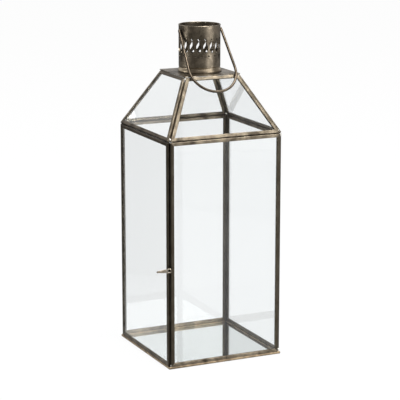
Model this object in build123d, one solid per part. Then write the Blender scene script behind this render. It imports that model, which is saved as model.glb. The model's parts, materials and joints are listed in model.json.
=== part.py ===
from build123d import *

import math
import os

# Square glass lantern. Four tall side panels stand on a mirror-floored base, the
# left one being a door. Four sloping roof panels carry a square plate and a round
# pierced chimney with a wire bail. Every pane is edged with folded brass channel,
# and the panels touch along their inner edges, so each outer corner of the body is
# an open notch.
#
# Frame: millimetres, +Z up, origin at the centre of the base on the surface that
# the lantern stands on. The front is -Y and the door is the -X side.

# --- driving dimensions ---------------------------------------------------------
BODY_WIDTH = 170.0        # over the outer faces of the side panels
SIDE_HEIGHT = 310.0       # side panels, without the base under them
ROOF_RISE = 77.0          # from the roof's lower outer edge to its upper one
PLATE_WIDTH = 83.5        # square plate on top of the roof
CHIMNEY_RADIUS = 28.7
CHIMNEY_HEIGHT = 65.0     # above the plate
BAIL_DROP = 98.5          # from the bail's pivots to the bottom of its loop

# --- channel and glass ----------------------------------------------------------
SHEET = 0.7               # brass sheet that the channel is folded from
GLASS = 2.0
PANEL = GLASS + 2 * SHEET # thickness of every panel
FLANGE = 4.8              # width of the channel's two faces
FOLD_RADIUS = 0.9         # outside radius of the channel's folds
LIP_RADIUS = 0.25         # eased edge of the channel's faces
GLASS_INSET = 2.7         # from the channel's back to the edge of the glass
BACKING_GAP = 0.3         # round the sheet that covers the mirror's back

# --- door -----------------------------------------------------------------------
DOOR_GAP = 0.5            # round all four edges of the door
HINGE_ROD_RADIUS = 0.8
HINGE_BORE_RADIUS = 0.85
HINGE_INSET = 1.7         # from the door's rear edge and outer face to the axis

STOP_SHEET = 0.8          # strips inside the frame that the door closes against
STOP_WIDTH = 4.2
STOP_HEAD_GAP = 0.2       # from the side panels' tops down to the upper strip
STOP_GAP = 0.2            # from the strips to the closed door
STOP_START = 3.0          # from the front panel to the upper strip
STOP_END = 6.0            # the upper strip ends this far short of the hinge side

# --- latch ----------------------------------------------------------------------
LATCH_HEIGHT = 139.0
LATCH_PIN_RADIUS = 0.6
LATCH_PIN_HEAD = 0.5      # height of each of the pin's riveted heads
LATCH_PIN_LIP = 0.35      # each head's edge beyond the pin
LATCH_BORE_RADIUS = 0.65
LATCH_REACH = 1.6         # pin's distance outside the door's face
LATCH_SETBACK = 1.3       # pin's distance behind the front panel's face
LATCH_LENGTH = 14.6       # from the pin to the middle of the tip bead
LEVER_SHEET = 1.0
LEVER_BLADE_START = 2.2   # from the pin
LEVER_ROOT_WIDTH = 5.0
LEVER_TIP_WIDTH = 2.2
LEVER_BEAD_RADIUS = 1.35
KNUCKLE_RADIUS = 1.25
KNUCKLE_GAP = 0.1         # above and below the knuckle
LUG_RADIUS = 1.2
LUG_THICKNESS = 1.2
LUG_GAP = 3.4
BRACKET_SHEET = 0.8

# --- plate, chimney and bail ----------------------------------------------------
PLATE = 1.0
PLATE_CORNER = 1.2
VENT_RADIUS = 25.0
WALL = 0.8
COLLAR_HEIGHT = 8.0
COLLAR_FLARE = 1.2        # the collar's foot beyond the tube
COLLAR_STEP = 0.6         # the collar's foot inside the tube
RIM_RADIUS = 0.8
PIERCINGS = 19
PIERCING_TURN = -7.8      # first slot, in degrees from the front
PIERCING_HEIGHT = 35.0    # middle of the pierced band above the plate
SLOT_HALF_WIDTH = 3.4
SLOT_HALF_SIDE = 3.2      # half the slot's straight side
SLOT_HALF_HEIGHT = 8.8
SLOT_ROUNDING = 0.9
NOTCH_HALF_WIDTH = 1.9    # three-cornered holes between the slots' ends
NOTCH_NEAR = 9.0          # their points, from the middle of the band
NOTCH_FAR = 12.3          # their level sides
NOTCH_ROUNDING = 0.3
BAIL_RADIUS = 1.8
BAIL_BORE_RADIUS = 1.88
BAIL_PIVOT = 58.0         # above the plate
BAIL_HALF_WIDTH = 31.4    # at the pivots
BAIL_LOOP = 34.6          # radius of the loop
BAIL_BEND = 2.2
BAIL_TAIL = 7.0           # wire from each leg inwards through the chimney wall
BAIL_SHIFT = 0.7          # the bail sits to one side in its holes
BAIL_TILT = 37.6          # from hanging straight down, resting on the plate's edge

# --- solder ---------------------------------------------------------------------
SEAM_RADIUS = 0.95        # solder run along each corner where two panels meet
SEAM_END = 3.0            # from the ends of the eaves to their runs
HIP_SEAM_LOW = 0.05       # share of the way up the hip
HIP_SEAM_HIGH = 0.94
SOLDER_RADIUS = 2.4
SOLDER_PROUD = 0.9        # beads' middles outside the panels' inner edges
FOOT_BEAD_RADIUS = 1.4
HIP_BEAD_LOW = 0.04       # share of the way up the hip
HIP_BEAD_HIGH = 0.985

# --- worked out from the above --------------------------------------------------
HALF = BODY_WIDTH / 2
INNER = HALF - PANEL
SIDE_TOP = PANEL + SIDE_HEIGHT
ROOF_RUN = HALF - PLATE_WIDTH / 2
ROOF_SLANT = math.hypot(ROOF_RUN, ROOF_RISE)
ROOF_SIN = ROOF_RISE / ROOF_SLANT
ROOF_COS = ROOF_RUN / ROOF_SLANT
EAVE = SIDE_TOP + PANEL * ROOF_COS
PLATE_BOTTOM = EAVE + ROOF_RISE
PLATE_TOP = PLATE_BOTTOM + PLATE
SIDES = {"front": 0, "right": 90, "rear": 180, "left": 270}
EDGES = ("bottom", "right", "top", "left")

parts = {}


def inset(points, distance):
    """The convex outline's corners moved in by the same distance from every edge."""
    corners = []
    for index, point in enumerate(points):
        before = Vector(*points[index - 1])
        here = Vector(*point)
        after = Vector(*points[(index + 1) % len(points)])
        first = (here - before).normalized()
        second = (after - here).normalized()
        normal_in = Vector(-first.Y, first.X)
        normal_out = Vector(-second.Y, second.X)
        corner = here + (normal_in + normal_out) * (distance / (1 + normal_in.dot(normal_out)))
        corners.append((corner.X, corner.Y))
    return corners


def slab(points, top, bottom):
    """A flat prism of the outline between two heights over its plane."""
    return Pos(0, 0, bottom) * extrude(Polygon(*points, align=None), amount=top - bottom)


def channel(start, end, inner_start, inner_end):
    """One length of folded channel along an edge, its ends mitred."""
    along = Vector(*end) - Vector(*start)
    run = along.length
    section = Rectangle(FLANGE, PANEL, align=(Align.MIN, Align.MIN))
    back = section.vertices().filter_by_position(Axis.X, -0.01, 0.01)
    section = fillet(back, FOLD_RADIUS)
    section -= Pos(SHEET, SHEET) * Rectangle(FLANGE, GLASS, align=(Align.MIN, Align.MIN))
    lips = [corner for corner in section.vertices()
            if corner.X > FLANGE - 0.01 and abs(corner.Y - PANEL / 2) > PANEL / 2 - 0.01]
    section = fillet(lips, LIP_RADIUS)
    place = Plane(origin=(*start, -PANEL), x_dir=(-along.Y, along.X, 0), z_dir=(along.X, along.Y, 0))
    bar = extrude(place * section, amount=run)
    return bar & slab([start, end, inner_end, inner_start], 1, -PANEL - 1)


def panel(name, outline, location, pane="glass"):
    """A pane with a mitred channel on each edge; the outline is the panel's outer
    face, drawn anticlockwise from its bottom left corner as seen from outside."""
    inner = inset(outline, FLANGE)
    for index, edge in enumerate(EDGES):
        after = (index + 1) % len(outline)
        strip = channel(outline[index], outline[after], inner[index], inner[after])
        parts[f"{name}_channel_{edge}"] = location * strip
    parts[f"{name}_{pane}"] = location * slab(inset(outline, GLASS_INSET), -SHEET, SHEET - PANEL)


def upright(left, right, bottom, top):
    return [(left, bottom), (right, bottom), (right, top), (left, top)]


def base():
    """Mirror floor in its own channels, lying flat under the side panels. A sheet
    level with the channels' undersides covers the silvering."""
    square = upright(-HALF, HALF, -HALF, HALF)
    panel("base", square, Location((0, 0, PANEL)), pane="mirror")
    backing = 2 * (HALF - FLANGE - BACKING_GAP)
    parts["base_backing"] = extrude(Rectangle(backing, backing), amount=SHEET)


def side_panels():
    """Front, right and rear panels, and the door on the left."""
    fixed = upright(-INNER, INNER, PANEL, SIDE_TOP)
    door = upright(-INNER + DOOR_GAP, INNER - DOOR_GAP, PANEL + DOOR_GAP, SIDE_TOP - DOOR_GAP)
    face = Plane(origin=(0, -HALF, 0), x_dir=(1, 0, 0), z_dir=(0, -1, 0)).location
    for side, turn in SIDES.items():
        if side == "left":
            panel("door", door, Rot(0, 0, turn) * face)
        else:
            panel(side, fixed, Rot(0, 0, turn) * face)


def roof_panels():
    """Four trapezoid panels; neighbours touch along their inner edges at the hips."""
    between = math.acos(ROOF_COS ** 2)
    setback = PANEL * math.tan(between / 2)
    hip = math.atan2(ROOF_SLANT, ROOF_RUN)
    along = setback / math.sin(hip)
    low = HALF - along
    high = PLATE_WIDTH / 2 - along
    outline = [(-low, 0), (low, 0), (high, ROOF_SLANT), (-high, ROOF_SLANT)]
    face = Plane(origin=(0, -HALF, EAVE), x_dir=(1, 0, 0), z_dir=(0, -ROOF_SIN, ROOF_COS)).location
    for side, turn in SIDES.items():
        panel(f"roof_{side}", outline, Rot(0, 0, turn) * face)


def hinge():
    """A rod down the hollow rear edge of the door, held in the base and the roof."""
    axis_x = -HALF + HINGE_INSET
    axis_y = INNER - DOOR_GAP - HINGE_INSET
    foot = SHEET + 0.1
    head = EAVE + 0.3
    axis = Pos(axis_x, axis_y, (foot + head) / 2)
    rod = axis * Cylinder(HINGE_ROD_RADIUS, head - foot)
    bore = axis * Cylinder(HINGE_BORE_RADIUS, head - foot)
    for name in ("door_channel_bottom", "door_channel_top", "door_channel_left"):
        parts[name] = parts[name] - bore
    for name in ("base_channel_left", "roof_left_channel_bottom"):
        parts[name] = parts[name] - rod
    parts["hinge_rod"] = rod


def latch():
    """A tapered lever on an upright pin, in a bracket soldered to the front panel's
    left edge. Turned in, the lever lies across the door's front edge."""
    pin_x = -HALF - LATCH_REACH
    pin_y = -HALF + LATCH_SETBACK
    outer = LUG_GAP / 2 + LUG_THICKNESS
    knuckle_height = LUG_GAP - 2 * KNUCKLE_GAP
    at_pin = Pos(pin_x, pin_y, 0)

    lug = Circle(LUG_RADIUS)
    lug += Rectangle(-INNER - pin_x, 2 * LUG_RADIUS, align=(Align.MIN, Align.CENTER))
    lug = at_pin * extrude(lug, amount=LUG_THICKNESS)
    back = Box(BRACKET_SHEET, 2 * LUG_RADIUS, 2 * outer, align=(Align.MAX, Align.CENTER, Align.CENTER))
    bracket = Pos(-INNER, pin_y, 0) * back
    bracket += Pos(0, 0, LUG_GAP / 2) * lug
    bracket += Pos(0, 0, -outer) * lug
    bracket -= at_pin * Cylinder(LATCH_PIN_RADIUS, 4 * outer)

    pin = Cylinder(LATCH_PIN_RADIUS, 2 * outer)
    rivet = Cylinder(LATCH_PIN_RADIUS + LATCH_PIN_LIP, LATCH_PIN_HEAD)
    for end in (-1, 1):
        pin += Pos(0, 0, end * (outer + LATCH_PIN_HEAD / 2)) * rivet

    root, tip = LEVER_ROOT_WIDTH / 2, LEVER_TIP_WIDTH / 2
    blade = Polygon((-LEVER_BLADE_START, -root), (-LEVER_BLADE_START, root),
                    (-LATCH_LENGTH, tip), (-LATCH_LENGTH, -tip), align=None)
    blade = Rot(90, 0, 0) * Pos(0, 0, -LEVER_SHEET / 2) * extrude(blade, amount=LEVER_SHEET)
    neck = Box(LEVER_BLADE_START, LEVER_SHEET, knuckle_height,
               align=(Align.MAX, Align.CENTER, Align.CENTER))
    bead = Pos(-LATCH_LENGTH, 0, 0) * Sphere(LEVER_BEAD_RADIUS)
    lever = Cylinder(KNUCKLE_RADIUS, knuckle_height) + neck + blade + bead
    lever -= Cylinder(LATCH_BORE_RADIUS, LUG_GAP)

    level = Pos(0, 0, LATCH_HEIGHT)
    parts["latch_bracket"] = level * bracket
    parts["latch_pin"] = level * at_pin * pin
    parts["latch_lever"] = level * at_pin * lever


def top_plate():
    """Square plate over the roof's upper edges, open under the chimney."""
    sheet = extrude(RectangleRounded(PLATE_WIDTH, PLATE_WIDTH, PLATE_CORNER), amount=PLATE)
    parts["top_plate"] = Pos(0, 0, PLATE_BOTTOM) * (sheet - Cylinder(VENT_RADIUS, 4 * PLATE))


def piercing(points, rounding, turn):
    """A cutter from the chimney's axis outwards, with this outline on the wall."""
    outline = Polygon(*points, align=None)
    outline = fillet(outline.vertices(), rounding)
    return Rot(0, 0, turn) * extrude(Plane.XZ * outline, amount=2 * CHIMNEY_RADIUS)


def chimney():
    """Pierced tube with a rolled rim, on a flared collar."""
    inside = CHIMNEY_RADIUS - WALL
    rim_middle = CHIMNEY_HEIGHT - RIM_RADIUS
    wall_height = rim_middle - COLLAR_HEIGHT
    wall = Pos(inside, COLLAR_HEIGHT) * Rectangle(WALL, wall_height, align=(Align.MIN, Align.MIN))
    wall += Pos(CHIMNEY_RADIUS - WALL / 2, rim_middle) * Circle(RIM_RADIUS)
    tube = revolve(Plane.XZ * wall, Axis.Z)

    right_side = [(SLOT_HALF_WIDTH, -SLOT_HALF_SIDE), (SLOT_HALF_WIDTH, SLOT_HALF_SIDE),
                  (0, SLOT_HALF_HEIGHT)]
    slot = right_side + [(-x, -z) for x, z in right_side]
    notch = [(-NOTCH_HALF_WIDTH, NOTCH_FAR), (NOTCH_HALF_WIDTH, NOTCH_FAR), (0, NOTCH_NEAR)]
    cutters = []
    for index in range(PIERCINGS):
        turn = PIERCING_TURN + 360 / PIERCINGS * index
        between = turn + 180 / PIERCINGS
        cutters.append(piercing(slot, SLOT_ROUNDING, turn))
        cutters.append(piercing(notch, NOTCH_ROUNDING, between))
        cutters.append(piercing([(x, -z) for x, z in notch], NOTCH_ROUNDING, between))
    tube -= [Pos(0, 0, PIERCING_HEIGHT) * cutter for cutter in cutters]
    tube -= Pos(0, 0, BAIL_PIVOT) * Rot(0, 90, 0) * Cylinder(BAIL_BORE_RADIUS, 4 * CHIMNEY_RADIUS)
    parts["chimney_tube"] = Pos(0, 0, PLATE_TOP) * tube

    foot = CHIMNEY_RADIUS + COLLAR_FLARE
    foot_start = (foot - 0.4, 0)
    neck_end = (CHIMNEY_RADIUS, COLLAR_HEIGHT)
    waist = ((CHIMNEY_RADIUS + 0.5, 4.4), (CHIMNEY_RADIUS - 0.3, 6.2))
    outside = Spline(foot_start, (foot, 1.8), *waist, neck_end)
    rest = Polyline(neck_end, (inside, COLLAR_HEIGHT), (inside - COLLAR_STEP, 0), foot_start)
    collar = revolve(Plane.XZ * make_face(outside + rest), Axis.Z)
    parts["chimney_collar"] = Pos(0, 0, PLATE_TOP) * collar


def bail():
    """Wire handle: two tails through the chimney wall, two legs and a round loop."""
    centre = BAIL_DROP - BAIL_LOOP
    flare = math.asin(BAIL_LOOP / math.hypot(BAIL_HALF_WIDTH, centre))
    flare -= math.atan2(BAIL_HALF_WIDTH, centre)
    leg_end = (BAIL_LOOP * math.cos(flare), -centre + BAIL_LOOP * math.sin(flare))
    tail_end = BAIL_HALF_WIDTH - BAIL_TAIL
    other_end = (-leg_end[0], leg_end[1])
    right = FilletPolyline((tail_end, 0), (BAIL_HALF_WIDTH, 0), leg_end, radius=BAIL_BEND)
    left = FilletPolyline((-tail_end, 0), (-BAIL_HALF_WIDTH, 0), other_end, radius=BAIL_BEND)
    loop = ThreePointArc(leg_end, (0, -BAIL_DROP), other_end)
    path = Wire(right.edges() + loop.edges() + left.edges())
    start = Plane(origin=path @ 0, z_dir=path % 0)
    wire = sweep(start * Circle(BAIL_RADIUS), path=path)
    hung = Rot(-BAIL_TILT, 0, 0) * Rot(90, 0, 0) * wire
    parts["bail_handle"] = Pos(BAIL_SHIFT, 0, PLATE_TOP + BAIL_PIVOT) * hung


def door_stops():
    """Strips just inside the door's free edge and its top, closing the gaps there."""
    face = -INNER + STOP_GAP
    low = PANEL + FLANGE
    high = SIDE_TOP - STOP_HEAD_GAP - STOP_WIDTH
    run = 2 * INNER - STOP_START - STOP_END
    upright_strip = Box(STOP_SHEET, STOP_WIDTH, high - low, align=(Align.MIN, Align.MIN, Align.MIN))
    head_strip = Box(STOP_SHEET, run, STOP_WIDTH, align=(Align.MIN, Align.MIN, Align.MIN))
    parts["door_stop_upright"] = Pos(face, -INNER, low) * upright_strip
    parts["door_stop_head"] = Pos(face, -INNER + STOP_START, high) * head_strip


def solder_run(start, end, radius, neighbours):
    """A round run of solder between two points, shaped by the pieces it lies against."""
    along = Vector(*end) - Vector(*start)
    middle = Vector(*start) + along / 2
    run = Plane(origin=middle, z_dir=along) * Cylinder(radius, along.length)
    for name in neighbours:
        run = run - parts[name]
    return run.solids().sort_by(SortBy.VOLUME)[-1]


def hip_point(share, outwards=0.0):
    """A point on the front right hip's inner edge, or moved out from it in plan."""
    middle = INNER + outwards - ROOF_RUN * share
    return Vector(middle, -middle, SIDE_TOP + ROOF_RISE * share)


def seams():
    """Solder runs along the corners, hips and eaves. The door's edges have none."""
    front_right = ["front_channel_right", "right_channel_left"]
    post_ends = [f"{side}_channel_{edge}" for side in ("front", "right") for edge in ("bottom", "top")]
    post = solder_run((INNER, -INNER, PANEL), (INNER, -INNER, SIDE_TOP), SEAM_RADIUS,
                      front_right + post_ends)
    hip_sides = ["roof_front_channel_right", "roof_right_channel_left"]
    hip = solder_run(hip_point(HIP_SEAM_LOW), hip_point(HIP_SEAM_HIGH), SEAM_RADIUS, hip_sides)
    eave_end = INNER - SEAM_END
    eave = solder_run((-eave_end, -INNER, SIDE_TOP), (eave_end, -INNER, SIDE_TOP), SEAM_RADIUS,
                      ["front_channel_top", "roof_front_channel_bottom"])
    parts["corner_seams"] = Compound(children=[Rot(0, 0, turn) * post for turn in (0, 90)])
    parts["hip_seams"] = Compound(children=[Rot(0, 0, turn) * hip for turn in SIDES.values()])
    parts["eave_seams"] = Compound(children=[Rot(0, 0, turn) * eave for turn in (0, 90, 180)])


def solder():
    """Beads in the corner notches. The corners beside the door have them only on
    the base and the roof, so that the door stays free."""
    beads = []
    half_run = (hip_point(1) - hip_point(0)).normalized() * SOLDER_RADIUS
    hip_sides = ["roof_front_channel_right", "roof_right_channel_left", "hip_seams"]
    hip_ends = {
        HIP_BEAD_LOW: ["roof_front_channel_bottom", "roof_right_channel_bottom"],
        HIP_BEAD_HIGH: ["roof_front_channel_top", "roof_right_channel_top", "top_plate"],
    }
    for share, ends in hip_ends.items():
        middle = hip_point(share, SOLDER_PROUD)
        solid = solder_run(middle - half_run, middle + half_run, SOLDER_RADIUS, hip_sides + ends)
        beads += [Rot(0, 0, turn) * solid for turn in SIDES.values()]
    corner = INNER + SOLDER_PROUD
    for low, edge in ((PANEL, "bottom"), (SIDE_TOP - 2 * SOLDER_RADIUS, "top")):
        neighbours = ["front_channel_right", "right_channel_left", "corner_seams",
                      f"front_channel_{edge}", f"right_channel_{edge}"]
        solid = solder_run((corner, -corner, low), (corner, -corner, low + 2 * SOLDER_RADIUS),
                           SOLDER_RADIUS, neighbours)
        beads += [Rot(0, 0, turn) * solid for turn in (0, 90)]
    foot_y = -HALF + PANEL / 2
    foot = solder_run((-INNER, foot_y, PANEL), (-INNER, foot_y, PANEL + 2 * FOOT_BEAD_RADIUS),
                      FOOT_BEAD_RADIUS, ["front_channel_left", "front_channel_bottom"])
    beads += [foot, mirror(foot, about=Plane.XZ)]
    parts["solder_beads"] = Compound(children=beads)


base()
side_panels()
roof_panels()
hinge()
latch()
door_stops()
top_plate()
chimney()
bail()
seams()
solder()

os.makedirs("parts", exist_ok=True)
for name, solid in parts.items():
    solid.label = name
    export_step(solid, f"parts/{name}.step")
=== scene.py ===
import json
import math

import bpy
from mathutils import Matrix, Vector


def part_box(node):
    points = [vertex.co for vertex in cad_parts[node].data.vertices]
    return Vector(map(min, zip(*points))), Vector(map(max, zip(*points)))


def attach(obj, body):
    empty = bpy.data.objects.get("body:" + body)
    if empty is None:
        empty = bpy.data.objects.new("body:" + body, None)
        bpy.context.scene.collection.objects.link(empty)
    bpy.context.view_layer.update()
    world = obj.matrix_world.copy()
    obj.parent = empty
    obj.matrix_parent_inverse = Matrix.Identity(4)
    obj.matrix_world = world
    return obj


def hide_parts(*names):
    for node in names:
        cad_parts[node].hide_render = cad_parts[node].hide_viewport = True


# Square glass lantern in aged brass: finishes, fine pieces, light and camera,
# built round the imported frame. Everything is in metres.

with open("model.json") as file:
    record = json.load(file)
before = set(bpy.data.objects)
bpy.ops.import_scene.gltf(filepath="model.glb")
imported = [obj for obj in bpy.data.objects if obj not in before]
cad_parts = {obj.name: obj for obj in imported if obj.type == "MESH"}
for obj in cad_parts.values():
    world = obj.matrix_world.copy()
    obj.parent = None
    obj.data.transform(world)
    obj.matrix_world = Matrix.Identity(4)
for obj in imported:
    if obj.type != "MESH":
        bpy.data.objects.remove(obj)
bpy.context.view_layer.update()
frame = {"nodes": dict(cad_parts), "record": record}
bpy.ops.object.select_all(action="DESELECT")

MM = 0.001
nodes = frame["nodes"]


# --- shader helpers ---------------------------------------------------------------

def add(tree, kind, **settings):
    """A new node of this kind, with its own settings and its input values by name."""
    node = tree.nodes.new(kind)
    for name, value in settings.items():
        if name == "inputs":
            for socket, amount in value.items():
                node.inputs[socket].default_value = amount
        else:
            setattr(node, name, value)
    return node


def join(tree, source, target):
    tree.links.new(source, target)


def maths(tree, operation, first, second=0.5, clamp=False):
    """A Math node on sockets or plain numbers; gives its output socket."""
    node = add(tree, "ShaderNodeMath", operation=operation, use_clamp=clamp)
    for socket, value in zip(node.inputs, (first, second)):
        if isinstance(value, bpy.types.NodeSocket):
            join(tree, value, socket)
        else:
            socket.default_value = value
    return node.outputs[0]


def blend_colours(tree, share, first, second, mode="MIX"):
    """A colour mix of two sockets or plain colours; gives its output socket."""
    node = add(tree, "ShaderNodeMix", data_type="RGBA", blend_type=mode)
    for socket, value in ((node.inputs[0], share), (node.inputs[6], first), (node.inputs[7], second)):
        if isinstance(value, bpy.types.NodeSocket):
            join(tree, value, socket)
        else:
            socket.default_value = value
    return node.outputs[2]


def spread(tree, source, low, high, out_low=0.0, out_high=1.0):
    """The source's values from low to high, stretched to the new range and clamped."""
    node = add(tree, "ShaderNodeMapRange")
    node.inputs["From Min"].default_value = low
    node.inputs["From Max"].default_value = high
    node.inputs["To Min"].default_value = out_low
    node.inputs["To Max"].default_value = out_high
    join(tree, source, node.inputs["Value"])
    return node.outputs[0]


def noise(tree, vector, scale, detail=4.0, roughness=0.55):
    """Plain noise on a vector; gives its output socket."""
    amounts = {"Scale": scale, "Detail": detail, "Roughness": roughness}
    node = add(tree, "ShaderNodeTexNoise", inputs=amounts)
    join(tree, vector, node.inputs["Vector"])
    return node.outputs["Fac"]


def new_group(name, inputs, outputs):
    """An empty shader group; an input of None and an output named a normal are vectors."""
    group = bpy.data.node_groups.new(name, "ShaderNodeTree")
    for label, value in inputs.items():
        kind = "NodeSocketVector" if value is None else "NodeSocketFloat"
        socket = group.interface.new_socket(label, in_out="INPUT", socket_type=kind)
        if value is not None:
            socket.default_value = value
    for label in outputs:
        kind = "NodeSocketVector" if label.endswith("normal") else "NodeSocketFloat"
        group.interface.new_socket(label, in_out="OUTPUT", socket_type=kind)
    entry = group.nodes.new("NodeGroupInput")
    leaving = group.nodes.new("NodeGroupOutput")
    return group, entry.outputs, leaving.inputs


def place_group(tree, group, vector, **values):
    """One use of a shared group, its inputs set by their names in small letters."""
    node = add(tree, "ShaderNodeGroup", node_tree=group)
    for label, value in values.items():
        node.inputs[label.replace("_", " ").capitalize()].default_value = value
    join(tree, vector, node.inputs["Vector"])
    return node.outputs


# --- effects that several finishes share -------------------------------------------

PIT_DEPTH = 0.35             # dark specks, against the cloudy unevenness


def make_patina():
    """Cloudy tarnish, fine dark specks and the small unevenness of old sheet."""
    group, given, out = new_group(
        "patina", {"Vector": None, "Cloud scale": 60.0, "Speck scale": 900.0},
        ("Cloud", "Specks", "Height"))
    cloud = add(group, "ShaderNodeTexNoise", inputs={"Detail": 6.0, "Roughness": 0.6, "Distortion": 0.4})
    join(group, given["Vector"], cloud.inputs["Vector"])
    join(group, given["Cloud scale"], cloud.inputs["Scale"])
    specks = add(group, "ShaderNodeTexNoise", inputs={"Detail": 3.0, "Roughness": 0.7})
    join(group, given["Vector"], specks.inputs["Vector"])
    join(group, given["Speck scale"], specks.inputs["Scale"])
    join(group, spread(group, cloud.outputs["Fac"], 0.35, 0.66), out["Cloud"])
    dark = spread(group, specks.outputs["Fac"], 0.6, 0.74)
    join(group, dark, out["Specks"])
    pits = maths(group, "MULTIPLY", dark, PIT_DEPTH)
    join(group, maths(group, "SUBTRACT", cloud.outputs["Fac"], pits), out["Height"])
    return group


def make_draw_lines():
    """Fine lines left by rolling or brushing; they run along the vector's X."""
    group, given, out = new_group(
        "draw_lines", {"Vector": None, "Along": 12.0, "Across": 1400.0}, ("Lines", "Height"))
    stretch = add(group, "ShaderNodeCombineXYZ")
    join(group, given["Along"], stretch.inputs["X"])
    join(group, given["Across"], stretch.inputs["Y"])
    join(group, given["Across"], stretch.inputs["Z"])
    scaled = add(group, "ShaderNodeVectorMath", operation="MULTIPLY")
    join(group, given["Vector"], scaled.inputs[0])
    join(group, stretch.outputs[0], scaled.inputs[1])
    lines = noise(group, scaled.outputs[0], 1.0, detail=3.0, roughness=0.6)
    join(group, spread(group, lines, 0.3, 0.7), out["Lines"])
    join(group, lines, out["Height"])
    return group


def make_wear_glint_shade_group():
    """Where handling rubs the tarnish off edges, lightened further as a painted highlight, and hollows
    darkened by ambient occlusion as painted shade with some dirt.
    """
    group, given, out = new_group(
        "wear_glint_shade_group", {"Vector": None, "Edge width": 0.0006, "Hollow depth": 0.004, "Crown width": 0.0016},
        ("Edges", "Shade and dirt in hollows", "Crowned normal"))
    rounded = add(group, "ShaderNodeBevel", samples=4)
    join(group, given["Edge width"], rounded.inputs["Radius"])
    surface = add(group, "ShaderNodeNewGeometry")
    turned = add(group, "ShaderNodeVectorMath", operation="DOT_PRODUCT")
    join(group, rounded.outputs[0], turned.inputs[0])
    join(group, surface.outputs["Normal"], turned.inputs[1])
    sharp = spread(group, turned.outputs["Value"], 0.995, 0.86)
    patches = noise(group, given["Vector"], 180.0)
    # Painted highlight, with real wear: the mask of rubbed edges that are lightened.
    join(group, maths(group, "MULTIPLY", sharp, spread(group, patches, 0.38, 0.62)), out["Edges"])
    crowned = add(group, "ShaderNodeBevel", samples=6)
    join(group, given["Crown width"], crowned.inputs["Radius"])
    join(group, crowned.outputs[0], out["Crowned normal"])
    # Painted shade, with some dirt: darkening by ambient occlusion in hollows.
    covered = add(group, "ShaderNodeAmbientOcclusion", samples=4)
    join(group, given["Hollow depth"], covered.inputs["Distance"])
    join(group, spread(group, covered.outputs["AO"], 0.75, 0.25), out["Shade and dirt in hollows"])
    return group


patina = make_patina()
draw_lines = make_draw_lines()
wear_glint_shade_group = make_wear_glint_shade_group()


# --- finishes ----------------------------------------------------------------------

def new_material(name):
    """A material with just a Principled surface joined to its output."""
    material = bpy.data.materials.new(name)
    material.use_nodes = True
    tree = material.node_tree
    tree.nodes.clear()
    surface = add(tree, "ShaderNodeBsdfPrincipled")
    output = add(tree, "ShaderNodeOutputMaterial")
    join(tree, surface.outputs[0], output.inputs["Surface"])
    return material, tree, surface, output


def turned_coordinates(tree, along):
    """Object coordinates turned so that their X runs along a piece."""
    place = add(tree, "ShaderNodeTexCoord")
    turn = add(tree, "ShaderNodeMapping", vector_type="POINT")
    quaternion = Vector(along).to_track_quat("X", "Z")
    turn.inputs["Rotation"].default_value = quaternion.inverted().to_euler()
    join(tree, place.outputs["Object"], turn.inputs["Vector"])
    return turn.outputs[0]


# How strongly each effect shows in the colour of aged brass.
SPECK_SHARE = 0.7
# Painted highlight, with real wear: how much the rubbed edges are lightened.
EDGE_WEAR_AND_GLINT_SHARE = 0.75
# Painted shade, with some dirt: how much the hollows are darkened.
HOLLOW_SHADE_SHARE = 0.8
SPECK_DARKNESS = 0.4
# Painted shade, with some dirt: how dark the hollows go.
HOLLOW_SHADE_DARKNESS = 0.3
LINE_DEPTH = 0.02 * MM


def darker(colour, share):
    """A plain colour brought down to a share of itself."""
    return (*[part * share for part in colour[:3]], 1)


def aged_brass(name, along, dark, middle, rubbed, rough=(0.3, 0.5), crown=0.0016):
    """Brass toned dark, with its rolling lines, cloudy tarnish and rubbed edges; the rubbed edges are
    lightened further as painted highlights, the hollows are darkened as painted shade, and some middle
    tones passed in are lit or shaded copies.
    """
    material, tree, surface, output = new_material(name)
    vector = turned_coordinates(tree, along)
    tarnish = place_group(tree, patina, vector)
    lines = place_group(tree, draw_lines, vector)
    wear_glint_and_shade = place_group(tree, wear_glint_shade_group, vector, crown_width=crown)
    streaks = maths(tree, "ADD", maths(tree, "MULTIPLY", lines["Lines"], 0.5), 0.5)
    tone = maths(tree, "MULTIPLY", tarnish["Cloud"], streaks)
    colour = blend_colours(tree, tone, dark, middle)
    specks = maths(tree, "MULTIPLY", tarnish["Specks"], SPECK_SHARE)
    colour = blend_colours(tree, specks, colour, darker(dark, SPECK_DARKNESS))
    # Painted highlight, with real wear: rubbed edges lightened.
    edges = maths(tree, "MULTIPLY", wear_glint_and_shade["Edges"], EDGE_WEAR_AND_GLINT_SHARE)
    colour = blend_colours(tree, edges, colour, rubbed)
    # Painted shade, with some dirt: hollows darkened.
    hollows = maths(tree, "MULTIPLY", wear_glint_and_shade["Shade and dirt in hollows"], HOLLOW_SHADE_SHARE)
    colour = blend_colours(tree, hollows, colour, darker(dark, HOLLOW_SHADE_DARKNESS))
    join(tree, colour, surface.inputs["Base Color"])
    surface.inputs["Metallic"].default_value = 1.0
    smooth = maths(tree, "SUBTRACT", maths(tree, "ADD", tone, wear_glint_and_shade["Edges"]), tarnish["Specks"])
    join(tree, spread(tree, smooth, 0.0, 1.0, rough[1], rough[0]), surface.inputs["Roughness"])
    height = maths(tree, "ADD", maths(tree, "MULTIPLY", lines["Height"], 0.4), tarnish["Height"])
    bump = add(tree, "ShaderNodeBump", inputs={"Strength": 0.6, "Distance": LINE_DEPTH})
    join(tree, height, bump.inputs["Height"])
    join(tree, wear_glint_and_shade["Crowned normal"], bump.inputs["Normal"])
    join(tree, bump.outputs[0], surface.inputs["Normal"])
    return material


DARK = (0.052, 0.042, 0.030, 1)
MIDDLE = (0.17, 0.135, 0.095, 1)
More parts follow.
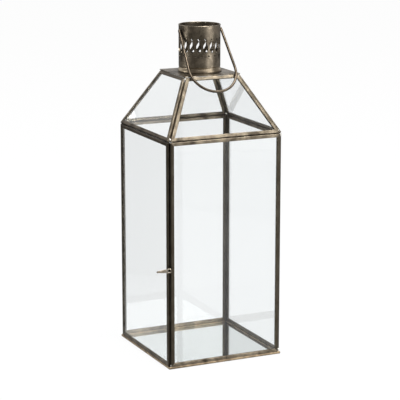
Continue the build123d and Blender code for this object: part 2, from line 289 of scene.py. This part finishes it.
# Lit and shaded copies of one brass, as painted light and shade: a darker middle for upright channels,
# lighter middles for level channels along X and for hips.
UPRIGHT_SHADED_MIDDLE = (0.085, 0.074, 0.056, 1)
LEVEL_LIT_MIDDLE = (0.4, 0.335, 0.245, 1)
HIP_LIT_MIDDLE = (0.29, 0.242, 0.176, 1)
# Painted light: a lit copy of the brass for the chimney's collar.
COLLAR_LIT_MIDDLE = (0.46, 0.385, 0.28, 1)
# Painted highlight, with real wear: the rubbed-edge colour, light enough to stand for glints on the
# flanges.
RUBBED_AND_GLINT = (0.62, 0.54, 0.41, 1)
SOLDER_DARK = (0.4, 0.375, 0.34, 1)
SOLDER_BRIGHT = (0.8, 0.77, 0.71, 1)
LIT = (0.355, 0.3, 0.228, 1)
WIRE = (0.125, 0.098, 0.072, 1)
WORN_GREY = (0.34, 0.315, 0.27, 1)


def clear_glass(name):
    """Old float glass: slightly grey, faintly wavy, with a few wiped marks."""
    material, tree, surface, output = new_material(name)
    place = add(tree, "ShaderNodeTexCoord")
    surface.inputs["Base Color"].default_value = (0.94, 0.952, 0.955, 1)
    surface.inputs["IOR"].default_value = 1.45
    surface.inputs["Specular IOR Level"].default_value = 0.2
    surface.inputs["Transmission Weight"].default_value = 1.0
    wiped = noise(tree, place.outputs["Object"], 9.0, detail=6.0)
    join(tree, spread(tree, wiped, 0.5, 0.8, 0.0, 0.004), surface.inputs["Roughness"])
    wave = noise(tree, place.outputs["Object"], 9.0, detail=0.0)
    bump = add(tree, "ShaderNodeBump", inputs={"Strength": 0.25, "Distance": 0.0001})
    join(tree, wave, bump.inputs["Height"])
    join(tree, bump.outputs[0], surface.inputs["Normal"])
    through = add(tree, "ShaderNodeBsdfTransparent", inputs={"Color": (0.93, 0.95, 0.94, 1)})
    path = add(tree, "ShaderNodeLightPath")
    mix = add(tree, "ShaderNodeMixShader")
    join(tree, path.outputs["Is Shadow Ray"], mix.inputs[0])
    join(tree, surface.outputs[0], mix.inputs[1])
    join(tree, through.outputs[0], mix.inputs[2])
    join(tree, mix.outputs[0], output.inputs["Surface"])
    return material


def mirror_glass(name):
    """Silvered on its back: bright above, painted below, with dust and a few spots."""
    material, tree, surface, output = new_material(name)
    place = add(tree, "ShaderNodeTexCoord")
    facing = add(tree, "ShaderNodeNewGeometry")
    part = add(tree, "ShaderNodeSeparateXYZ")
    join(tree, facing.outputs["Normal"], part.inputs[0])
    silvered = spread(tree, part.outputs["Z"], 0.4, 0.6)
    spots = spread(tree, noise(tree, place.outputs["Object"], 160.0, detail=5.0), 0.68, 0.76)
    dust = spread(tree, noise(tree, place.outputs["Object"], 22.0, detail=7.0), 0.4, 0.8)
    bright = blend_colours(tree, spots, (0.84, 0.87, 0.86, 1), (0.3, 0.29, 0.27, 1))
    join(tree, blend_colours(tree, silvered, (0.2, 0.2, 0.21, 1), bright), surface.inputs["Base Color"])
    join(tree, silvered, surface.inputs["Metallic"])
    rough = maths(tree, "ADD", maths(tree, "MULTIPLY", dust, 0.06), maths(tree, "MULTIPLY", spots, 0.3))
    rough = maths(tree, "ADD", rough, maths(tree, "SUBTRACT", 0.6, maths(tree, "MULTIPLY", silvered, 0.59)))
    join(tree, rough, surface.inputs["Roughness"])
    return material


def black_lacquer(name):
    """Thin black lacquer on the backing sheet, scuffed grey and dusty."""
    material, tree, surface, output = new_material(name)
    place = add(tree, "ShaderNodeTexCoord")
    tarnish = place_group(tree, patina, place.outputs["Object"], cloud_scale=30.0, speck_scale=500.0)
    scuffs = place_group(tree, draw_lines, place.outputs["Object"], along=30.0, across=420.0)
    scuffed = maths(tree, "MULTIPLY", spread(tree, scuffs["Lines"], 0.75, 1.0), tarnish["Cloud"])
    join(tree, blend_colours(tree, scuffed, (0.012, 0.012, 0.013, 1), (0.09, 0.085, 0.08, 1)),
         surface.inputs["Base Color"])
    join(tree, spread(tree, scuffed, 0.0, 1.0, 0.32, 0.6), surface.inputs["Roughness"])
    bump = add(tree, "ShaderNodeBump", inputs={"Strength": 0.4, "Distance": 0.00002})
    join(tree, tarnish["Height"], bump.inputs["Height"])
    join(tree, bump.outputs[0], surface.inputs["Normal"])
    return material


X_AXIS, Y_AXIS, Z_AXIS = (1, 0, 0), (0, 1, 0), (0, 0, 1)
# The roof's lower outer edges stand a little above the side panels' tops.
EAVE_LIFT = 1.66 * MM
hip_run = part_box("right_channel_left")[1].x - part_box("top_plate")[1].x
hip_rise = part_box("top_plate")[0].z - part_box("front_channel_top")[1].z - EAVE_LIFT
HIPS = {
    "front_right": (-1, 1), "rear_right": (-1, -1), "rear_left": (1, -1), "front_left": (1, 1),
}
# Painted light and shade: each way a channel runs gets its own lit or shaded copy of the same brass.
channel_finishes = {
    "upright": aged_brass("channel_brass_upright", Z_AXIS, DARK, UPRIGHT_SHADED_MIDDLE, RUBBED_AND_GLINT),
    "along_x": aged_brass("channel_brass_along_x", X_AXIS, DARK, LEVEL_LIT_MIDDLE, RUBBED_AND_GLINT),
    "along_y": aged_brass("channel_brass_along_y", Y_AXIS, DARK, MIDDLE, RUBBED_AND_GLINT),
}
for corner, (side_x, side_y) in HIPS.items():
    slope = (side_x * hip_run, side_y * hip_run, hip_rise)
    channel_finishes[corner] = aged_brass(f"channel_brass_{corner}", slope, DARK, HIP_LIT_MIDDLE, RUBBED_AND_GLINT)

# Painted light: a lit copy of the channel brass for the base, its dark and middle tones both lighter.
BASE_LIT_DARK = (0.14, 0.105, 0.068, 1)
BASE_LIT_MIDDLE = (0.62, 0.475, 0.305, 1)
for level, run in (("along_x", X_AXIS), ("along_y", Y_AXIS)):
    finish_name = f"channel_brass_base_{level}"
    channel_finishes["base_" + level] = aged_brass(finish_name, run, BASE_LIT_DARK, BASE_LIT_MIDDLE, RUBBED_AND_GLINT)

finishes = {
    "clear_glass": clear_glass("clear_glass"),
    "mirror_glass": mirror_glass("mirror_glass"),
    "backing": black_lacquer("black_lacquer"),
    "chimney_brass": aged_brass(
        "chimney_brass", X_AXIS, DARK, LIT, RUBBED_AND_GLINT, rough=(0.28, 0.42), crown=0.0),
    "collar_brass": aged_brass(
        "collar_brass", X_AXIS, MIDDLE, COLLAR_LIT_MIDDLE, RUBBED_AND_GLINT, rough=(0.24, 0.38), crown=0.0),
    "plate_brass": aged_brass("plate_brass", X_AXIS, DARK, MIDDLE, RUBBED_AND_GLINT),
    "bail_wire": aged_brass("bail_wire_brass", Z_AXIS, DARK, WIRE, RUBBED_AND_GLINT),
    "pin_brass": aged_brass("pin_brass", Z_AXIS, DARK, MIDDLE, RUBBED_AND_GLINT),
    "latch_brass": aged_brass("latch_brass", X_AXIS, MIDDLE, WORN_GREY, RUBBED_AND_GLINT),
    "solder": aged_brass(
        "toned_solder", Z_AXIS, SOLDER_DARK, SOLDER_BRIGHT, SOLDER_BRIGHT, rough=(0.22, 0.36)),
    "seam_solder": aged_brass("seam_solder", Z_AXIS, DARK, DARK, MIDDLE),
}

# Each side's finish for its level channels, and for the hips at its left and right.
TURNS = {
    "front": ("along_x", "front_left", "front_right"),
    "right": ("along_y", "front_right", "rear_right"),
    "rear": ("along_x", "rear_right", "rear_left"),
    "left": ("along_y", "rear_left", "front_left"),
}


def channel_finish(name):
    """The finish of a channel, from its name: level, upright, up a hip or in the base; these finishes are
    lit and shaded copies of one brass.
    """
    if name.startswith("door_stop"):
        return "upright" if name.endswith("upright") else "along_y"
    panel, edge = name.split("_channel_")
    if panel == "base":
        return "base_along_x" if edge in ("bottom", "top") else "base_along_y"
    side = "left" if panel == "door" else panel.removeprefix("roof_")
    level, left_hip, right_hip = TURNS[side]
    if edge in ("bottom", "top"):
        return level
    if panel.startswith("roof_"):
        return left_hip if edge == "left" else right_hip
    return "upright"


slots = {part["node"]: part["material_slot"] for part in frame["record"]["subparts"]}
for name, piece in nodes.items():
    if slots[name] == "channel":
        material = channel_finishes[channel_finish(name)]
    elif name == "chimney_collar":
        # Painted light: the collar gets its lit copy of the brass.
        material = finishes["collar_brass"]
    else:
        material = finishes[slots[name]]
    piece.data.materials.clear()
    piece.data.materials.append(material)


# --- fine pieces -----------------------------------------------------------------------

def start(operator, **settings):
    """Add a primitive by itself, and leave it selected and in edit mode."""
    bpy.ops.object.select_all(action="DESELECT")
    operator(**settings)
    piece = bpy.context.object
    bpy.ops.object.transform_apply(location=True, rotation=True, scale=True)
    bpy.ops.object.mode_set(mode="EDIT")
    bpy.ops.mesh.select_all(action="SELECT")
    return piece


def finish(piece, name, finish_name, body="frame"):
    """Leave edit mode, name the piece, give it its finish and let it ride."""
    if bpy.context.mode != "OBJECT":
        bpy.ops.object.mode_set(mode="OBJECT")
    piece.name = name
    piece.data.name = name
    piece.data.materials.clear()
    piece.data.materials.append(finishes[finish_name])
    bpy.ops.object.shade_smooth_by_angle(angle=math.radians(40))
    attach(piece, body)
    return piece


def join_pieces(pieces):
    """Join pieces into the first of them, and give that one back."""
    bpy.ops.object.select_all(action="DESELECT")
    for piece in pieces:
        piece.select_set(True)
    bpy.context.view_layer.objects.active = pieces[0]
    bpy.ops.object.join()
    return pieces[0]


def bevel(piece, width, segments=3):
    """Round a piece's sharp edges off for good."""
    modifier = piece.modifiers.new("eased", "BEVEL")
    modifier.width = width
    modifier.segments = segments
    modifier.limit_method = "ANGLE"
    bpy.ops.object.modifier_apply(modifier=modifier.name)


def lump(place, size, stretch, seed):
    """One uneven lump of solder, drawn out along a corner."""
    piece = start(bpy.ops.mesh.primitive_ico_sphere_add, subdivisions=3, radius=size)
    bpy.ops.transform.vertex_random(offset=size * 0.35, uniform=0.6, normal=0.4, seed=seed)
    bpy.ops.mesh.vertices_smooth(factor=0.5, repeat=3)
    bpy.ops.object.mode_set(mode="OBJECT")
    piece.rotation_mode = "QUATERNION"
    piece.rotation_quaternion = Vector(stretch).to_track_quat("Z", "Y")
    piece.scale = (1, 1, 1.35)
    piece.location = place
    bpy.ops.object.transform_apply(location=True, rotation=True, scale=True)
    return piece


def make_solder_lumps():
    """Solder in the outside corners, at the ends of posts and hips."""
    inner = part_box("front_channel_right")[1].x
    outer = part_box("right_channel_left")[1].x
    base_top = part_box("base_channel_bottom")[1].z
    side_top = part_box("front_channel_top")[1].z
    proud = 0.9 * MM
    spots = []
    for turn_x, turn_y in ((1, -1), (1, 1), (-1, 1), (-1, -1)):
        hip = (-turn_x * hip_run, -turn_y * hip_run, hip_rise)
        for share in (0.04, 0.985):
            along = inner + proud - hip_run * share
            spots.append(((turn_x * along, turn_y * along, side_top + hip_rise * share), 2.1 * MM, hip))
    for turn_y in (-1, 1):
        corner = inner + proud
        for height in (base_top + 1.8 * MM, side_top - 1.8 * MM):
            spots.append(((corner, turn_y * corner, height), 2.0 * MM, Z_AXIS))
        spots.append(((-inner, turn_y * (outer - 1.7 * MM), base_top + 1.3 * MM), 1.3 * MM, Z_AXIS))
    lumps = [lump(place, size, stretch, seed) for seed, (place, size, stretch) in enumerate(spots, 3)]
    finish(join_pieces(lumps), "solder_lumps", "solder")
    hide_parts("solder_beads")


def make_collar_solder():
    """The uneven ring of solder that holds the chimney's collar to the plate."""
    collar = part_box("chimney_collar")
    plate_top = collar[0].z
    piece = start(bpy.ops.mesh.primitive_torus_add, major_segments=144, minor_segments=12,
                  major_radius=collar[1].x + 0.1 * MM, minor_radius=0.75 * MM, location=(0, 0, plate_top))
    bpy.ops.transform.vertex_random(offset=0.3 * MM, uniform=1.0, seed=5)
    bpy.ops.mesh.vertices_smooth(factor=0.5, repeat=2)
    bpy.ops.mesh.select_all(action="SELECT")
    bpy.ops.mesh.bisect(plane_co=(0, 0, plate_top + 0.02 * MM), plane_no=(0, 0, 1),
                        use_fill=True, clear_inner=True)
    finish(piece, "collar_solder", "seam_solder")


def make_chimney_seam():
    """The lapped edge where the chimney's sheet is closed, between two slots at the back."""
    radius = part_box("chimney_collar")[1].x - 1.3 * MM
    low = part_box("chimney_tube")[0].z + 0.2 * MM
    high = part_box("chimney_tube")[1].z - 1.8 * MM
    lap, thickness = math.radians(5.5), 0.5 * MM
    piece = start(bpy.ops.mesh.primitive_plane_add, size=1, rotation=(math.pi / 2, 0, 0))
    bpy.ops.transform.resize(value=(thickness, 1, high - low))
    bpy.ops.transform.translate(value=(radius + thickness / 2, 0, (low + high) / 2))
    bpy.ops.mesh.spin(steps=8, angle=lap, center=(0, 0, 0), axis=(0, 0, 1))
    bpy.ops.mesh.select_all(action="SELECT")
    bpy.ops.mesh.remove_doubles(threshold=0.001 * MM)
    bpy.ops.mesh.fill_holes(sides=4)
    bpy.ops.mesh.normals_make_consistent(inside=False)
    bpy.ops.object.mode_set(mode="OBJECT")
    piece.rotation_euler.z = math.radians(82.2) - lap / 2
    bpy.ops.object.transform_apply(location=True, rotation=True, scale=True)
    bevel(piece, 0.12 * MM)
    finish(piece, "chimney_seam", "chimney_brass")


def make_stop_ends():
    """Short strips that carry the door's stop down to the base and up to the head."""
    stop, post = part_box("door_stop_upright"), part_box("front_channel_left")
    lap = 0.4 * MM
    ends = []
    for low, high in ((post[0].z, stop[0].z + lap), (stop[1].z - lap, post[1].z - 0.6 * MM)):
        size = Vector((stop[1].x - stop[0].x, stop[1].y - stop[0].y, high - low))
        middle = ((stop[0].x + stop[1].x) / 2, (stop[0].y + stop[1].y) / 2, (low + high) / 2)
        piece = start(bpy.ops.mesh.primitive_cube_add, size=1)
        bpy.ops.transform.resize(value=size)
        bpy.ops.transform.translate(value=middle)
        bpy.ops.object.mode_set(mode="OBJECT")
        bevel(piece, 0.15 * MM)
        ends.append(piece)
    finish(join_pieces(ends), "door_stop_ends", "seam_solder")


make_solder_lumps()
make_stop_ends()
make_collar_solder()
make_chimney_seam()


# --- floor, light and camera ---------------------------------------------------------

# The room as gloss sees it: at eye level, overhead and underfoot.
WALLS = (0.34, 0.33, 0.315, 1)
CEILING = (0.18, 0.175, 0.17, 1)
GROUND = (0.2, 0.195, 0.187, 1)


def flat_white(name, colour, glow):
    """A matt surface that glows white by itself; its colour takes a faint shadow."""
    material, tree, surface, output = new_material(name)
    surface.inputs["Base Color"].default_value = colour
    surface.inputs["Roughness"].default_value = 0.9
    surface.inputs["Specular IOR Level"].default_value = 0.0
    surface.inputs["Emission Color"].default_value = (1, 1, 1, 1)
    surface.inputs["Emission Strength"].default_value = glow
    return material, tree, surface


FADE_START = 0.45            # of a sheet's radius
FLOOR_SIZE = 40


def glow_sheet(name, place, radius, glow):
    """A round white sheet that only gloss sees, fading out towards its edge."""
    bpy.ops.mesh.primitive_circle_add(vertices=96, radius=radius, fill_type="NGON",
                                      location=(*place, 0.1 * MM))
    sheet = bpy.context.object
    sheet.name = name
    material, tree, surface = flat_white(name + "_white", (0.05, 0.05, 0.05, 1), glow)
    coordinates = add(tree, "ShaderNodeTexCoord")
    distance = add(tree, "ShaderNodeVectorMath", operation="LENGTH")
    join(tree, coordinates.outputs["Object"], distance.inputs[0])
    fading = spread(tree, distance.outputs["Value"], FADE_START * radius, radius, glow, GROUND[0])
    join(tree, fading, surface.inputs["Emission Strength"])
    sheet.data.materials.append(material)
    for ray in ("camera", "diffuse", "transmission", "shadow"):
        setattr(sheet, "visible_" + ray, False)
    return sheet


def make_floor():
    bpy.ops.mesh.primitive_plane_add(size=FLOOR_SIZE)
    floor = bpy.context.object
    floor.name = "floor"
    material, tree, surface = flat_white("floor_white", (0.03, 0.03, 0.03, 1), 0.95)
    floor.data.materials.append(material)
    floor.visible_glossy = False
    # White sheets on the floor are what the metal and the mirror reflect.
    near_sheet = glow_sheet("near_sheet", (0.4, -0.45), 1.05, 0.85)
    far_sheet = glow_sheet("far_sheet", (1.3, -1.5), 1.1, 1.3)
    side_sheet = glow_sheet("side_sheet", (1.95, 0.0), 0.85, 1.1)


def look_back(thing, target, azimuth, elevation, distance):
    """Put a light or camera this far from its target, looking back at it.

    Azimuth 0 is in front of the lantern and 90 to its right.
    """
    across, up = math.radians(azimuth), math.radians(elevation)
    out = Vector((math.sin(across) * math.cos(up), -math.cos(across) * math.cos(up), math.sin(up)))
    thing.location = Vector(target) + out * distance
    thing.rotation_mode = "QUATERNION"
    thing.rotation_quaternion = (-out).to_track_quat("-Z", "Y")


def softbox(name, azimuth, elevation, distance, width, height, power, aim=(0, 0, 0.22)):
    """A rectangular light that faces the lantern."""
    data = bpy.data.lights.new(name, "AREA")
    data.shape = "RECTANGLE"
    data.size, data.size_y = width, height
    data.energy = power
    lamp = bpy.data.objects.new(name, data)
    bpy.context.scene.collection.objects.link(lamp)
    look_back(lamp, aim, azimuth, elevation, distance)


def make_light():
    # Azimuth, elevation, distance, width, height and power.
    softbox("key_light", 33, 0, 2.0, 1.1, 1.9, 20, aim=(0, 0, 1.0))
    softbox("high_light", 34, 69, 2.0, 1.3, 1.1, 62)
    softbox("top_light", 20, 84, 2.0, 1.2, 1.2, 6)
    softbox("left_light", -105, 8, 2.4, 0.4, 1.2, 9)
    softbox("rear_light", 172, 50, 3.0, 2.6, 1.0, 26)
    world = bpy.data.worlds.new("studio")
    bpy.context.scene.world = world
    world.use_nodes = True
    tree = world.node_tree
    tree.nodes.clear()
    output = add(tree, "ShaderNodeOutputWorld")
    pale = add(tree, "ShaderNodeBackground", inputs={"Color": (0.93, 0.93, 0.93, 1), "Strength": 0.95})
    room = add(tree, "ShaderNodeBackground", inputs={"Strength": 1.0})
    # Gloss sees a room, darker overhead, with a pale backdrop low down behind the lantern.
    place = add(tree, "ShaderNodeTexCoord")
    way = add(tree, "ShaderNodeSeparateXYZ")
    join(tree, place.outputs["Generated"], way.inputs[0])
    tone = blend_colours(tree, spread(tree, way.outputs["Z"], 0.15, 0.5), WALLS, CEILING)
    tone = blend_colours(tree, spread(tree, way.outputs["Z"], -0.08, 0.0), GROUND, tone)
    join(tree, tone, room.inputs["Color"])
    low = maths(tree, "MULTIPLY", spread(tree, way.outputs["Z"], -0.02, 0.04),
                spread(tree, way.outputs["Z"], 0.52, 0.38))
    backdrop = maths(tree, "MULTIPLY", low, spread(tree, way.outputs["Y"], 0.1, 0.45))
    gloss = add(tree, "ShaderNodeMixShader")
    join(tree, backdrop, gloss.inputs[0])
    join(tree, room.outputs[0], gloss.inputs[1])
    join(tree, pale.outputs[0], gloss.inputs[2])
    # Everything but gloss sees the pale studio all round.
    path = add(tree, "ShaderNodeLightPath")
    mix = add(tree, "ShaderNodeMixShader")
    join(tree, path.outputs["Is Glossy Ray"], mix.inputs[0])
    join(tree, pale.outputs[0], mix.inputs[1])
    join(tree, gloss.outputs[0], mix.inputs[2])
    join(tree, mix.outputs[0], output.inputs["Surface"])
    bpy.context.scene.view_settings.view_transform = "Standard"


CAMERA_AZIMUTH = -25.1       # degrees, from the front towards the door
CAMERA_ELEVATION = 12.67
CAMERA_DISTANCE = 2.3375
CAMERA_TARGET = (0.65 * MM, -0.3 * MM, 211.4 * MM)
CAMERA_SENSOR = 36           # millimetres, as is the lens
CAMERA_LENS = 150.5


def make_camera():
    data = bpy.data.cameras.new("camera")
    camera = bpy.data.objects.new("camera", data)
    bpy.context.scene.collection.objects.link(camera)
    bpy.context.scene.camera = camera
    data.sensor_width = CAMERA_SENSOR
    data.lens = CAMERA_LENS
    look_back(camera, CAMERA_TARGET, CAMERA_AZIMUTH, CAMERA_ELEVATION, CAMERA_DISTANCE)


make_floor()
make_light()
make_camera()
